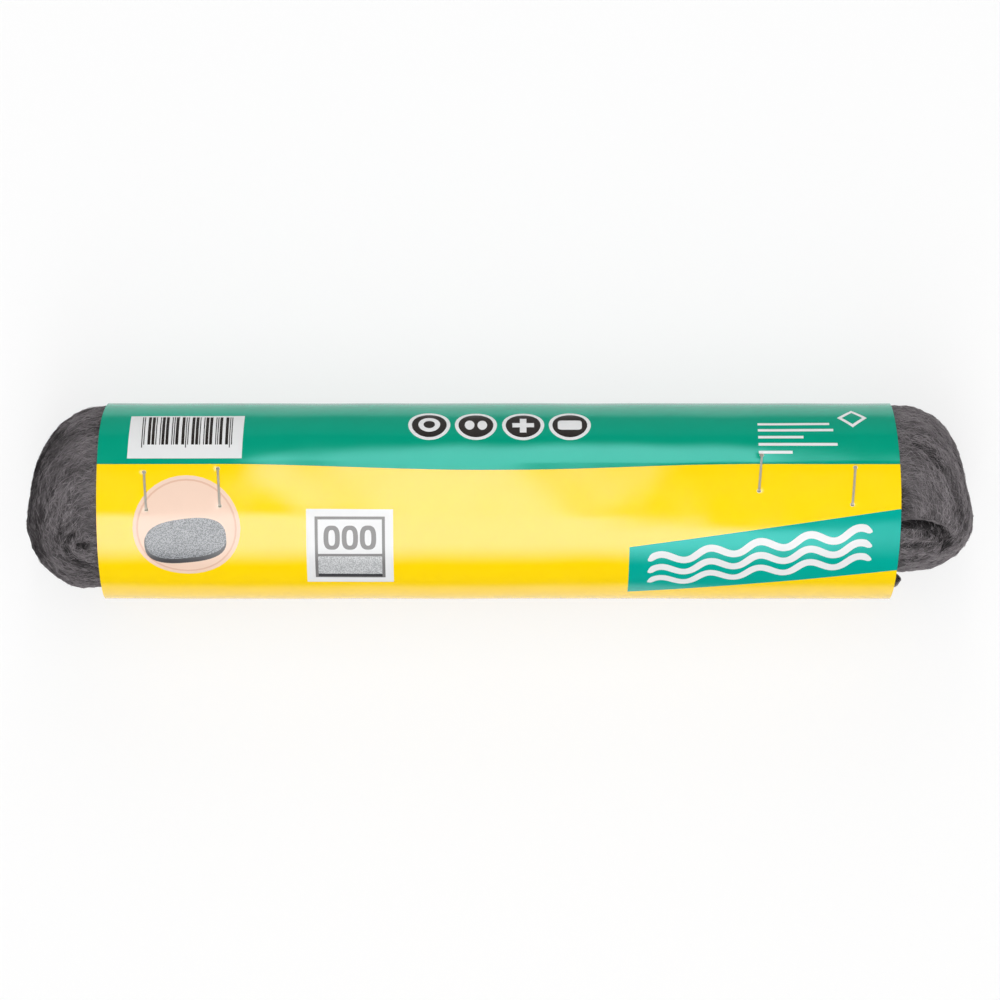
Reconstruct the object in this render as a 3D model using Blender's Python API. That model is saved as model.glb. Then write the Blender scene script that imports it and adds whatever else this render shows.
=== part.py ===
"""A roll of fine steel wool in a printed paper sleeve, closed by wire staples.

Metres, +Z up. The roll lies on a small flat spot with its label side up. +X runs along the roll and
+Y points to the green side of the sleeve. The origin is under the middle of the roll, on the surface
that it lies on.

A place on the roll is given by x, by its distance round the outside from the top line (positive
towards +Y), and by its inset, the depth below the outside of the sleeve.
"""

import math

import bmesh
import bpy
from mathutils import Vector

# Section of the roll, outside the sleeve
ROLL_RADIUS = 0.0330
FLAT_HALF_WIDTH = 0.0080
FLAT_CORNER_RADIUS = 0.0150

# Paper sleeve
SLEEVE_LENGTH = 0.2656
SLEEVE_CENTRE_X = -0.0004
PAPER_THICKNESS = 0.0002
LAP_GAP = 0.0001
FLAP_EDGE = 0.0125
FLAP_BOW = 0.0021
FLAP_BOW_REACH = 0.0200
LAP_WIDTH = 0.0223
LAP_RAMP = 0.0200
SLEEVE_STEP_ROUND = 0.0027
SLEEVE_STEP_ALONG = 0.0180

# Steel wool
WOOL_LENGTH = 0.3192
WOOL_CLEARANCE = 0.0003
WOOL_STEP_ROUND = 0.0027
WOOL_STEP_ALONG = 0.0300
WOOL_END_RINGS = 12
EDGE_POWER = 2.8

# Staples, of wire that is wider than it is thick
WIRE_WIDTH = 0.0007
WIRE_THICKNESS = 0.0005
CROWN_LENGTH = 0.0131
LEG_LENGTH = 0.0060
STAPLE_CLEARANCE = 0.00015
BEND_RADIUS = 0.0004
POCKET_CLEARANCE = 0.0003
POCKET_PARTS = 6

# Each staple: the end of the sleeve that it is near, its distance in from that end, the distance of its
# middle below the flap's free edge, and its tilt from square across the roll
STAPLES = {
    "staple_left_outer": (-1, 0.0161, 0.0091, math.radians(-3.9)),
    "staple_left_inner": (-1, 0.0404, 0.0079, math.radians(-3.4)),
    "staple_right_inner": (1, 0.0464, 0.0029, math.radians(5.3)),
    "staple_right_outer": (1, 0.0156, 0.0074, math.radians(5.1)),
}

# Each end of the wool: the height of its tip across the roll, how deep in the sleeve its upper and its
# lower side start to round off, and how full each side's curve is
WOOL_ENDS = {
    -1: {"tip_y": -0.0080, "upper": (0.0038, 2.3), "lower": (0.0038, 2.0)},
    1: {"tip_y": -0.0050, "upper": (0.0038, 2.2), "lower": (0.0230, 2.0)},
}

YELLOW_PRINT = (1.0, 0.76, 0.0)
GREEN_PRINT = (0.0, 0.36, 0.22)
BARE_PAPER = (0.86, 0.86, 0.84)
WOOL_GREY = (0.08, 0.08, 0.085)
WIRE_GREY = (0.55, 0.55, 0.55)

# Worked out from the sizes above
CORNER_ANGLE = math.asin(FLAT_HALF_WIDTH / (ROLL_RADIUS - FLAT_CORNER_RADIUS))
AXIS_HEIGHT = FLAT_CORNER_RADIUS + (ROLL_RADIUS - FLAT_CORNER_RADIUS) * math.cos(CORNER_ANGLE)
ROUND_REACH = ROLL_RADIUS * (math.pi - CORNER_ANGLE)
FLAT_REACH = ROUND_REACH + FLAT_CORNER_RADIUS * CORNER_ANGLE
GIRTH = 2 * (FLAT_REACH + FLAT_HALF_WIDTH)
SHEET_WIDTH = GIRTH + LAP_WIDTH
LAP_INSET = PAPER_THICKNESS + LAP_GAP
WOOL_INSET = LAP_INSET + PAPER_THICKNESS + WOOL_CLEARANCE
WOOL_RADIUS = ROLL_RADIUS - WOOL_INSET


def clear_scene():
    for thing in list(bpy.data.objects):
        bpy.data.objects.remove(thing, do_unlink=True)


def make_material(name, colour, roughness, metallic):
    material = bpy.data.materials.new(name)
    material.use_nodes = True
    shader = material.node_tree.nodes["Principled BSDF"]
    shader.inputs["Base Color"].default_value = (*colour, 1.0)
    shader.inputs["Roughness"].default_value = roughness
    shader.inputs["Metallic"].default_value = metallic
    material.diffuse_color = (*colour, 1.0)
    return material


def make_object(name, shape, materials, crease_angle=math.radians(35)):
    """Turns a bmesh into an object. Round stretches are shaded smooth, and true edges stay sharp."""
    bmesh.ops.recalc_face_normals(shape, faces=shape.faces)
    mesh = bpy.data.meshes.new(name)
    shape.to_mesh(mesh)
    shape.free()
    mesh.shade_smooth()
    mesh.set_sharp_from_angle(angle=crease_angle)
    for material in materials:
        mesh.materials.append(material)
    thing = bpy.data.objects.new(name, mesh)
    bpy.context.scene.collection.objects.link(thing)
    return thing


def section_point(distance, inset):
    """(y, z) at a distance round the outside from the top line, at a depth below the outside."""
    distance = (distance + GIRTH / 2) % GIRTH - GIRTH / 2
    side = math.copysign(1.0, distance)
    reach = abs(distance)
    if reach <= ROUND_REACH:
        angle = reach / ROLL_RADIUS
        y = (ROLL_RADIUS - inset) * math.sin(angle)
        z = (ROLL_RADIUS - inset) * math.cos(angle) + AXIS_HEIGHT
    elif reach <= FLAT_REACH:
        angle = math.pi - CORNER_ANGLE + (reach - ROUND_REACH) / FLAT_CORNER_RADIUS
        y = FLAT_HALF_WIDTH + (FLAT_CORNER_RADIUS - inset) * math.sin(angle)
        z = FLAT_CORNER_RADIUS + (FLAT_CORNER_RADIUS - inset) * math.cos(angle)
    else:
        y = FLAT_HALF_WIDTH - (reach - FLAT_REACH)
        z = inset
    return side * y, z


def roll_point(x, distance, inset):
    return Vector((x, *section_point(distance, inset)))


def spaced(breaks, step):
    """The break values in order, with each stretch between two of them divided evenly."""
    values = [breaks[0]]
    for start, end in zip(breaks, breaks[1:]):
        parts = max(1, math.ceil(abs(end - start) / step - 1e-6))
        values += [start + (end - start) * part / parts for part in range(1, parts + 1)]
    return values


def smooth_step(value):
    value = min(1.0, max(0.0, value))
    return value * value * (3 - 2 * value)


def sheet_inset(travel):
    """Depth of the sheet's outer face at a distance along it from the flap's free edge."""
    return LAP_INSET * smooth_step((travel - (GIRTH - LAP_RAMP)) / LAP_RAMP)


def sleeve_end(side):
    return SLEEVE_CENTRE_X + side * SLEEVE_LENGTH / 2


def staple_place(name):
    """A staple's x and its middle's distance round from the top line."""
    side, from_end, below_edge, _ = STAPLES[name]
    return sleeve_end(side) - side * from_end, FLAP_EDGE - below_edge


def flap_bow(x):
    """How far the flap's free edge lies back where the sleeve swells between the inner staples."""
    left = staple_place("staple_left_inner")[0]
    right = staple_place("staple_right_inner")[0]
    share = (x - (left + right) / 2) / ((right - left) / 2)
    return FLAP_BOW * math.cos(math.pi / 2 * min(1.0, abs(share))) ** 2


def sheet_point(x, travel, inset):
    bow = flap_bow(x) * (1 - smooth_step(travel / FLAP_BOW_REACH))
    return roll_point(x, FLAP_EDGE - bow - travel, sheet_inset(travel) + inset)


def make_sleeve(materials):
    """One sheet of paper that goes once round the roll and laps under its own flap."""
    green_start = FLAP_EDGE + GIRTH / 2
    breaks = [
        0.0,
        FLAP_EDGE + ROUND_REACH,
        FLAP_EDGE + FLAT_REACH,
        green_start,
        FLAP_EDGE + GIRTH - FLAT_REACH,
        FLAP_EDGE + GIRTH - ROUND_REACH,
        SHEET_WIDTH,
    ]
    travels = spaced(breaks, SLEEVE_STEP_ROUND)
    stations = spaced([sleeve_end(-1), sleeve_end(1)], SLEEVE_STEP_ALONG)
    shape = bmesh.new()
    outer = [[shape.verts.new(sheet_point(x, t, 0.0)) for t in travels] for x in stations]
    inner = [[shape.verts.new(sheet_point(x, t, PAPER_THICKNESS)) for t in travels] for x in stations]
    yellow, green, bare = range(3)
    last = len(stations) - 1
    for i in range(last):
        for j in range(len(travels) - 1):
            face = shape.faces.new((outer[i][j], outer[i + 1][j], outer[i + 1][j + 1], outer[i][j + 1]))
            face.material_index = yellow if travels[j + 1] <= green_start + 1e-6 else green
            face = shape.faces.new((inner[i][j], inner[i][j + 1], inner[i + 1][j + 1], inner[i + 1][j]))
            face.material_index = bare
        for j in (0, len(travels) - 1):
            face = shape.faces.new((outer[i][j], inner[i][j], inner[i + 1][j], outer[i + 1][j]))
            face.material_index = bare
    for i in (0, last):
        for j in range(len(travels) - 1):
            face = shape.faces.new((outer[i][j], outer[i][j + 1], inner[i][j + 1], inner[i][j]))
            face.material_index = bare
    return make_object("paper_sleeve", shape, materials)


def wool_shares(side, x):
    """How much of its full reach the wool has at x, from its tip line: downwards, upwards and along z."""
    shape = WOOL_ENDS[side]
    mouth = side * sleeve_end(side)
    tip = WOOL_LENGTH / 2

    def share(depth, power):
        run = (side * x - (mouth - depth)) / (tip - mouth + depth)
        return (1 - min(1.0, max(0.0, run)) ** power) ** (1 / power)

    return share(*shape["lower"]), share(*shape["upper"]), share(shape["upper"][0], EDGE_POWER)


def make_wool(material):
    """The wound hank as one closed body: a round bar with the rounded ends of the folded strand."""
    breaks = [0.0, ROUND_REACH, FLAT_REACH, GIRTH - FLAT_REACH, GIRTH - ROUND_REACH, GIRTH]
    rounds = spaced(breaks, WOOL_STEP_ROUND)[:-1]
    section = [section_point(distance, WOOL_INSET) for distance in rounds]
    start = {}
    for side, ends in WOOL_ENDS.items():
        mouth = side * sleeve_end(side)
        start[side] = mouth - max(ends["upper"][0], ends["lower"][0])
    tip = WOOL_LENGTH / 2
    middle = spaced([-start[-1], start[1]], WOOL_STEP_ALONG)
    turns = [math.sin(math.pi / 2 * k / WOOL_END_RINGS) for k in range(1, WOOL_END_RINGS)]
    left = [-(start[-1] + (tip - start[-1]) * turn) for turn in reversed(turns)]
    right = [start[1] + (tip - start[1]) * turn for turn in turns]
    shape = bmesh.new()
    rings = []
    for x in left + middle + right:
        side = -1 if x < 0 else 1
        tip_y = WOOL_ENDS[side]["tip_y"]
        lower, upper, flat = wool_shares(side, x)
        ring = []
        for y, z in section:
            y = tip_y + (y - tip_y) * (upper if y > tip_y else lower)
            ring.append(shape.verts.new((x, y, AXIS_HEIGHT + (z - AXIS_HEIGHT) * flat)))
        rings.append(ring)
    count = len(section)
    for ring, following in zip(rings, rings[1:]):
        for j in range(count):
            k = (j + 1) % count
            shape.faces.new((ring[j], ring[k], following[k], following[j]))
    for side, ring in ((-1, rings[0]), (1, rings[-1])):
        pole = shape.verts.new((side * tip, WOOL_ENDS[side]["tip_y"], AXIS_HEIGHT))
        for j in range(count):
            shape.faces.new((ring[j], ring[(j + 1) % count], pole))
    return make_object("steel_wool_hank", shape, [material], math.radians(60))


def staple_point(name, along, across, height):
    """A point given along the crown, across it, and by its height above the sleeve's outside."""
    x, distance = staple_place(name)
    tilt = STAPLES[name][3]
    x_here = x + along * math.sin(tilt) + across * math.cos(tilt)
    return roll_point(x_here, distance + along * math.cos(tilt) - across * math.sin(tilt), -height)


def arc(centre, radius, start, end, parts):
    """Points on an arc in the plane of the wire, angles in quarter turns."""
    angles = [math.pi / 2 * (start + (end - start) * k / parts) for k in range(parts + 1)]
    return [(centre[0] + radius * math.cos(a), centre[1] + radius * math.sin(a)) for a in angles]


def crown_height():
    return STAPLE_CLEARANCE + WIRE_THICKNESS / 2


def clinch_height():
    return -(LAP_INSET + PAPER_THICKNESS + STAPLE_CLEARANCE + WIRE_THICKNESS / 2)


def staple_centreline():
    """Half of the wire's centreline, from the middle of the crown to the tip of one folded leg."""
    half = CROWN_LENGTH / 2 - WIRE_THICKNESS / 2
    top = crown_height()
    bottom = clinch_height()
    bend = BEND_RADIUS
    folded = LEG_LENGTH - (top - bottom)
    points = [(half * k / 4, top) for k in range(4)]
    points += arc((half - bend, top - bend), bend, 1, 0, 3)
    points += arc((half - bend, bottom + bend), bend, 0, -1, 3)
    points += [(half - folded * k / 3, bottom) for k in range(1, 4)]
    return points


def make_staple(name, material):
    """A crown across the lap and two legs folded flat against the inside of the sheet."""
    half = staple_centreline()
    line = [(-along, height) for along, height in reversed(half)] + half[1:]
    shape = bmesh.new()
    rings = []
    for k, (along, height) in enumerate(line):
        before = line[max(k - 1, 0)]
        after = line[min(k + 1, len(line) - 1)]
        direction = Vector((after[0] - before[0], after[1] - before[1])).normalized()
        out = Vector((-direction.y, direction.x)) * WIRE_THICKNESS / 2
        corners = []
        for face, edge in ((1, 1), (1, -1), (-1, -1), (-1, 1)):
            across = edge * WIRE_WIDTH / 2
            place = staple_point(name, along + face * out.x, across, height + face * out.y)
            corners.append(shape.verts.new(place))
        rings.append(corners)
    for ring, following in zip(rings, rings[1:]):
        for j in range(4):
            k = (j + 1) % 4
            shape.faces.new((ring[j], ring[k], following[k], following[j]))
    shape.faces.new(rings[0])
    shape.faces.new(reversed(rings[-1]))
    return make_object(name, shape, [material])


def make_cutter(name, word, along, half_across, height, parts=1):
    """A hidden block at a staple that follows the roll's curve, for cutting a hole or a pocket."""
    shape = bmesh.new()
    rings = []
    for k in range(parts + 1):
        place = along[0] + (along[1] - along[0]) * k / parts
        corners = ((half_across, height[1]), (-half_across, height[1]), (-half_across, height[0]))
        corners += ((half_across, height[0]),)
        rings.append([shape.verts.new(staple_point(name, place, a, h)) for a, h in corners])
    for ring, following in zip(rings, rings[1:]):
        for j in range(4):
            k = (j + 1) % 4
            shape.faces.new((ring[j], ring[k], following[k], following[j]))
    shape.faces.new(rings[0])
    shape.faces.new(reversed(rings[-1]))
    cutter = make_object(f"{name}_{word}", shape, [])
    cutter.hide_render = True
    cutter.display_type = "WIRE"
    return cutter


def cut(thing, cutter):
    modifier = thing.modifiers.new(cutter.name, "BOOLEAN")
    modifier.operation = "DIFFERENCE"
    modifier.solver = "EXACT"
    modifier.object = cutter


def cut_for_staple(name, sleeve, wool):
    """Cuts the two leg holes through the sheet and the pocket that the folded legs press in the wool."""
    half = CROWN_LENGTH / 2
    gap = STAPLE_CLEARANCE
    through = (clinch_height(), crown_height())
    for side, word in ((-1, "lower"), (1, "upper")):
        along = sorted((side * (half + gap), side * (half - WIRE_THICKNESS - gap)))
        cut(sleeve, make_cutter(name, f"{word}_hole", along, WIRE_WIDTH / 2 + gap, through))
    reach = half + POCKET_CLEARANCE
    depth = clinch_height() - WIRE_THICKNESS / 2 - POCKET_CLEARANCE
    across = WIRE_WIDTH / 2 + POCKET_CLEARANCE
    cut(wool, make_cutter(name, "pocket", (-reach, reach), across, (depth, 0.0), POCKET_PARTS))


def main():
    clear_scene()
    paper = [
        make_material("yellow_print", YELLOW_PRINT, 0.3, 0.0),
        make_material("green_print", GREEN_PRINT, 0.3, 0.0),
        make_material("bare_paper", BARE_PAPER, 0.6, 0.0),
    ]
    wire = make_material("staple_wire", WIRE_GREY, 0.35, 1.0)
    sleeve = make_sleeve(paper)
    wool = make_wool(make_material("steel_wool", WOOL_GREY, 0.7, 0.3))
    for name in STAPLES:
        make_staple(name, wire)
        cut_for_staple(name, sleeve, wool)


main()
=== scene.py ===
"""Looks of a roll of fine steel wool in a stapled, printed paper sleeve.

Metres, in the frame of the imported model: +X along the roll, +Z up, +Y towards the green side. A place on
the sleeve is given by x and its distance round the outside from the top line, positive towards +Y. A
place on the sheet itself is given by x and its travel, the distance from the flap's free edge.
"""

from math import asin, atan2, ceil, copysign, cos, degrees, dist, exp, hypot, pi, radians, sin, sqrt, tan

import bpy
import numpy as np
from mathutils import Matrix, Vector, noise
from mathutils.bvhtree import BVHTree
from mathutils.geometry import delaunay_2d_cdt
from mathutils.kdtree import KDTree


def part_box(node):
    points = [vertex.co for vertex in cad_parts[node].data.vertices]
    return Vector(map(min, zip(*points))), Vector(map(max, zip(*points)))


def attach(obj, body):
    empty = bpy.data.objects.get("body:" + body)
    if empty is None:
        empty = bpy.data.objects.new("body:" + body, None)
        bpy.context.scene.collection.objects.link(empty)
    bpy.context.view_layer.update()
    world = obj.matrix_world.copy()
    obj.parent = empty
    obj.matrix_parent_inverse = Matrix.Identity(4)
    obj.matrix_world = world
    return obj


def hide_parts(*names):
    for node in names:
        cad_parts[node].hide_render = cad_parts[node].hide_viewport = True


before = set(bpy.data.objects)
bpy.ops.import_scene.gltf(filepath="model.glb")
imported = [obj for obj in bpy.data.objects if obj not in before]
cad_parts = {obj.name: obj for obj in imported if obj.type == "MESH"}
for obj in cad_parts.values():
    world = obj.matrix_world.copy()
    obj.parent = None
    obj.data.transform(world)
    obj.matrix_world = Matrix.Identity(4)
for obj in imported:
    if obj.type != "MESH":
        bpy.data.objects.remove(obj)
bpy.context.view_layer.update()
random = np.random.default_rng(7)

# Section of the roll, as the construction has it
ROLL_RADIUS = 0.033
FLAT_HALF_WIDTH = 0.008
FLAT_CORNER_RADIUS = 0.015
CORNER_ANGLE = asin(FLAT_HALF_WIDTH / (ROLL_RADIUS - FLAT_CORNER_RADIUS))
AXIS_HEIGHT = FLAT_CORNER_RADIUS + (ROLL_RADIUS - FLAT_CORNER_RADIUS) * cos(CORNER_ANGLE)
ROUND_REACH = ROLL_RADIUS * (pi - CORNER_ANGLE)
FLAT_REACH = ROUND_REACH + FLAT_CORNER_RADIUS * CORNER_ANGLE
GIRTH = 2 * (FLAT_REACH + FLAT_HALF_WIDTH)

# Sheet of the sleeve, as the construction has it
SLEEVE_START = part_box("paper_sleeve")[0].x
SLEEVE_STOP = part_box("paper_sleeve")[1].x
SLEEVE_LENGTH = SLEEVE_STOP - SLEEVE_START
PAPER_THICKNESS = 0.0002
LAP_INSET = 0.0003
LAP_WIDTH = 0.0223
LAP_RAMP = 0.02
FLAP_EDGE = 0.0125
FLAP_BOW = 0.0021
FLAP_BOW_REACH = 0.02
SHEET_WIDTH = GIRTH + LAP_WIDTH
COLOUR_CHANGE = FLAP_EDGE + GIRTH / 2

# Steel wool, as the construction has it. Side -1 is the left end and 1 the right end
MOUTHS = {-1: -SLEEVE_START, 1: SLEEVE_STOP}
WOOL_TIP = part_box("steel_wool_hank")[1].x
WOOL_INSET = 0.0008
WOOL_RADIUS = ROLL_RADIUS - WOOL_INSET
TIP_Y = {-1: -0.008, 1: -0.005}

# Staples: x and distance round of the crown's middle, and tilt from square across the roll
CROWN_LENGTH = 0.0131
WIRE_THICKNESS = 0.0005
WIRE_WIDTH = 0.0007
HOLE_CLEARANCE = 0.00015
STAPLES = {
    "staple_left_outer": (SLEEVE_START + 0.0161, FLAP_EDGE - 0.0091, radians(-3.9)),
    "staple_left_inner": (SLEEVE_START + 0.0404, FLAP_EDGE - 0.0079, radians(-3.4)),
    "staple_right_inner": (SLEEVE_STOP - 0.0464, FLAP_EDGE - 0.0029, radians(5.3)),
    "staple_right_outer": (SLEEVE_STOP - 0.0156, FLAP_EDGE - 0.0074, radians(5.1)),
}


def smooth_step(value):
    value = np.clip(value, 0.0, 1.0)
    return value * value * (3 - 2 * value)


def grown(value, start, reach):
    """0 up to start and 1 from a reach beyond it, with a soft step between."""
    return smooth_step((value - start) / reach)


def side_of(x):
    return -1 if x < 0 else 1


def held(value):
    return min(1.0, max(0.0, value))


def wrapped(distance):
    """A distance round, brought to within half the girth of the top line."""
    return (np.asarray(distance, float) + GIRTH / 2) % GIRTH - GIRTH / 2


def section(distance):
    """(y, z) on the outside of the roll, and the outward direction there."""
    distance = wrapped(distance)
    side = np.where(distance < 0, -1.0, 1.0)
    reach = np.abs(distance)
    rounded = reach <= ROUND_REACH
    past_round = np.clip(reach - ROUND_REACH, 0, FLAT_REACH - ROUND_REACH)
    corner = pi - CORNER_ANGLE + past_round / FLAT_CORNER_RADIUS
    angle = np.where(rounded, reach / ROLL_RADIUS, corner)
    radius = np.where(rounded, ROLL_RADIUS, FLAT_CORNER_RADIUS)
    past_corner = np.maximum(reach - FLAT_REACH, 0)
    y = np.where(rounded, 0.0, FLAT_HALF_WIDTH) + radius * np.sin(angle) - past_corner
    z = np.where(rounded, AXIS_HEIGHT, FLAT_CORNER_RADIUS) + radius * np.cos(angle)
    return side * y, z, side * np.sin(angle), np.cos(angle)


# Shape of the sleeve

BOW_LEFT = STAPLES["staple_left_inner"][0]
BOW_RIGHT = STAPLES["staple_right_inner"][0]
STILL_REACH = 0.03
PUCKER_DEPTH = 0.00008
PUCKER_RADIUS = 0.0011
TRIM_REACH = 0.012
LEFT_TRIM_BACK = 0.0015
LEFT_TRIM_FRONT = 0.0004
RIGHT_TRIM = 0.0014
# Slack waves: height, wavelength along, wavelength round, and their two phases
WAVES = [
    (0.0001, 0.19, 0.07, 0.6, 1.9),
    (0.00007, 0.083, 0.052, 2.1, 0.4),
    (0.00004, 0.046, 0.038, 4.0, 3.1),
    (0.00002, 0.029, 0.027, 1.2, 5.0),
]


def flap_bow(x):
    share = (x - (BOW_LEFT + BOW_RIGHT) / 2) / ((BOW_RIGHT - BOW_LEFT) / 2)
    return FLAP_BOW * np.cos(pi / 2 * np.minimum(1.0, np.abs(share))) ** 2


def distance_round(x, travel):
    """Distance round of a place on the sheet, which runs on past the bottom line."""
    return FLAP_EDGE - flap_bow(x) * (1 - smooth_step(travel / FLAP_BOW_REACH)) - travel


def staple_feet():
    """x and distance round of each leg's hole."""
    feet = []
    for x, distance, tilt in STAPLES.values():
        for end in (-1, 1):
            along = end * (CROWN_LENGTH - WIRE_THICKNESS) / 2
            feet.append((x + along * sin(tilt), distance + along * cos(tilt), tilt))
    return feet


FEET = staple_feet()


def rise(x, travel):
    """How far the outer face stands out from its plain shape: slack waves and puckers."""
    distance = wrapped(distance_round(x, travel))
    out = np.zeros(np.shape(x))
    for height, along, across, first, second in WAVES:
        turns = 2 * pi * np.stack([x / along, distance / across])
        out = out + height * np.sin(turns[0] + first) * np.sin(turns[1] + second)
    out = out * smooth_step((GIRTH / 2 - np.abs(distance)) / STILL_REACH)
    for foot_x, foot_distance, _ in FEET:
        far = np.hypot(x - foot_x, distance - foot_distance)
        out = out - PUCKER_DEPTH * np.exp(-((far / PUCKER_RADIUS) ** 2))
    return out


def end_trim(side, distance):
    """How much shorter the sleeve is at its sides than along its top line."""
    share = section(distance)[0] / ROLL_RADIUS
    if side < 0:
        return np.where(share > 0, LEFT_TRIM_BACK * np.abs(share) ** 6, LEFT_TRIM_FRONT * share**2)
    return RIGHT_TRIM * share**2


def sheet_points(x, travel, inset):
    """Points of the sheet at a depth below its outer face."""
    distance = distance_round(x, travel)
    y, z, out_y, out_z = section(distance)
    lapped = grown(travel, GIRTH - LAP_RAMP, LAP_RAMP)
    depth = LAP_INSET * lapped + inset - rise(x, travel)
    near_left = smooth_step((SLEEVE_START + TRIM_REACH - x) / TRIM_REACH)
    near_right = smooth_step((x - SLEEVE_STOP + TRIM_REACH) / TRIM_REACH)
    x = x + near_left * end_trim(-1, distance) - near_right * end_trim(1, distance)
    return np.stack([x, y - out_y * depth, z - out_z * depth], axis=-1)


def sheet_normals(x, travel):
    step = 0.0001
    along = sheet_points(x + step, travel, 0.0) - sheet_points(x - step, travel, 0.0)
    across = sheet_points(x, travel + step, 0.0) - sheet_points(x, travel - step, 0.0)
    normal = np.cross(across, along)
    return normal / np.linalg.norm(normal, axis=-1, keepdims=True)


# Print on the sleeve

BLUNTNESS = 0.05


def travel_of(distance):
    """Travel on the sheet of what is printed at a distance round: the flap's side or the green side."""
    return FLAP_EDGE - distance if distance < FLAP_EDGE else FLAP_EDGE + GIRTH - distance


def quad(corners):
    return [(x, travel_of(distance)) for x, distance in corners]


def rectangle(left, right, low, high):
    return quad([(left, low), (right, low), (right, high), (left, high)])


def oval(x, distance, half_x, half_round, power=2.0, turn=0.0, parts=40):
    points = []
    for k in range(parts):
        angle = 2 * pi * k / parts
        cosine = cos(angle)
        sine = sin(angle)
        a = half_x * copysign(abs(cosine) ** (2 / power), cosine)
        b = half_round * copysign(abs(sine) ** (2 / power), sine)
        turned_x = x + a * cos(turn) - b * sin(turn)
        points.append((turned_x, distance + a * sin(turn) + b * cos(turn)))
    return quad(points)


def disc(x, distance, radius):
    return oval(x, distance, radius, radius)


def band(start, end, width, sway, waves, parts, taper):
    """A strip from start to end that sways, and narrows at its blunt tips."""
    start, end = Vector(start), Vector(end)
    run = end - start
    across = Vector((-run.y, run.x)).normalized()
    upper, lower = [], []
    for k in range(parts + 1):
        share = k / parts
        middle = start + run * share + across * sway * sin(2 * pi * waves * share)
        slope = 2 * pi * waves * sway * cos(2 * pi * waves * share) / run.length
        half = width / 2 * sqrt(1 + slope * slope)
        half *= min(1.0, (min(share, 1 - share) / taper + BLUNTNESS)) ** 0.5
        upper.append(tuple(middle + across * half))
        lower.append(tuple(middle - across * half))
    return quad(upper + lower[::-1])


def print_shapes():
    """(slot, outline) of every printed field in x and travel, each over the ones before it."""
    shapes = []

    def add(slot, outline):
        shapes.append((slot, outline))

    # White panel with plain bars
    add("white", quad([(-0.1233, 0.0147), (-0.0854, 0.0147), (-0.085, 0.0341), (-0.1228, 0.0338)]))
    bar_left = -0.1188
    bars_right = -0.0882
    module = 0.00033
    k = 0
    while bar_left < bars_right:
        width = module * (1 + (k * 5 + k * k * 3) % 4)
        gap = module * (1 + (k * 7 + k * k) % 3)
        low = 0.0188 if k % 12 == 0 else 0.02
        add("black", rectangle(bar_left, bar_left + width, low, 0.0332))
        bar_left += width + gap
        k += 1

    # Four round marks with plain signs
    middle = 0.0289
    for number, x in enumerate((-0.0235, -0.008, 0.0077, 0.0232)):
        add("white", disc(x, middle, 0.007))
        add("black", disc(x, middle, 0.0058))
        if number == 0:
            add("white", disc(x, middle + 0.0002, 0.0036))
            add("black", disc(x, middle + 0.0002, 0.0019))
        elif number == 1:
            add("white", oval(x - 0.0021, middle, 0.0016, 0.0024))
            add("white", oval(x + 0.0021, middle, 0.0016, 0.0024))
        elif number == 2:
            add("white", rectangle(x - 0.0011, x + 0.0011, middle - 0.0036, middle + 0.0036))
            add("white", rectangle(x - 0.0036, x + 0.0036, middle - 0.0011, middle + 0.0011))
        else:
            add("white", oval(x, middle, 0.004, 0.0024, power=6.0))

    # Plain rules and an outlined lozenge
    rules = ((0.0292, 0.0238), (0.0262, 0.025), (0.0231, 0.015), (0.0201, 0.0262), (0.017, 0.0112))
    left = 0.0856
    half = 0.00055
    for distance, length in rules:
        add("white", rectangle(left, left + length, distance - half, distance + half))
    x = 0.1172
    middle = 0.0325
    for slot, size in (("white", 0.005), ("green", 0.0034)):
        add(slot, quad([(x - size, middle), (x, middle - size), (x + size, middle), (x, middle + size)]))

    # Panel with the grade number and a speckled field
    left = -0.0602
    right = -0.039
    middle = -0.0125
    add("white", rectangle(-0.064, -0.0353, -0.0313, -0.0025))
    add("grey", rectangle(-0.0612, -0.038, -0.0288, -0.0051))
    add("white", rectangle(left, right, -0.0184, -0.0061))
    add("speckle", rectangle(left, right, -0.027, -0.0194))
    add("charcoal", rectangle(left, right, -0.0284, -0.027))
    for x in (-0.0556, -0.0496, -0.0436):
        add("grey", oval(x, middle, 0.0027, 0.0043, power=2.8))
        add("white", oval(x, middle, 0.0011, 0.0028, power=2.8))

    # Slanted panel with plain wavy strands
    add("teal", quad([(0.0426, -0.0387), (0.133, -0.0253), (0.133, -0.0026), (0.0428, -0.0158)]))
    for offset in (-0.0052, 0.0, 0.0052):
        start = (0.049, -0.0262 + offset)
        end = (0.123, -0.0153 + offset)
        add("white", band(start, end, 0.0026, sway=0.0017, waves=4.5, parts=96, taper=0.02))

    # Picture of a pad of wool on a pale round board
    for slot, radius in (("peach", 0.0178), ("peach_dark", 0.0166), ("peach", 0.016)):
        add(slot, disc(-0.1035, -0.0092, radius))
    add("charcoal", oval(-0.104, -0.0142, 0.0136, 0.0078, power=2.6, turn=0.12))
    add("wool_print", oval(-0.1038, -0.013, 0.0134, 0.0071, power=2.6, turn=0.12))
    return shapes


def split(outline, step):
    """The outline with each straight stretch divided, to follow the sheet's curve."""
    points = []
    for start, end in zip(outline, outline[1:] + outline[:1]):
        parts = max(1, ceil(dist(start, end) / step))
        run_x = end[0] - start[0]
        run_travel = end[1] - start[1]
        for k in range(parts):
            points.append((start[0] + run_x * k / parts, start[1] + run_travel * k / parts))
    return points


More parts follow.
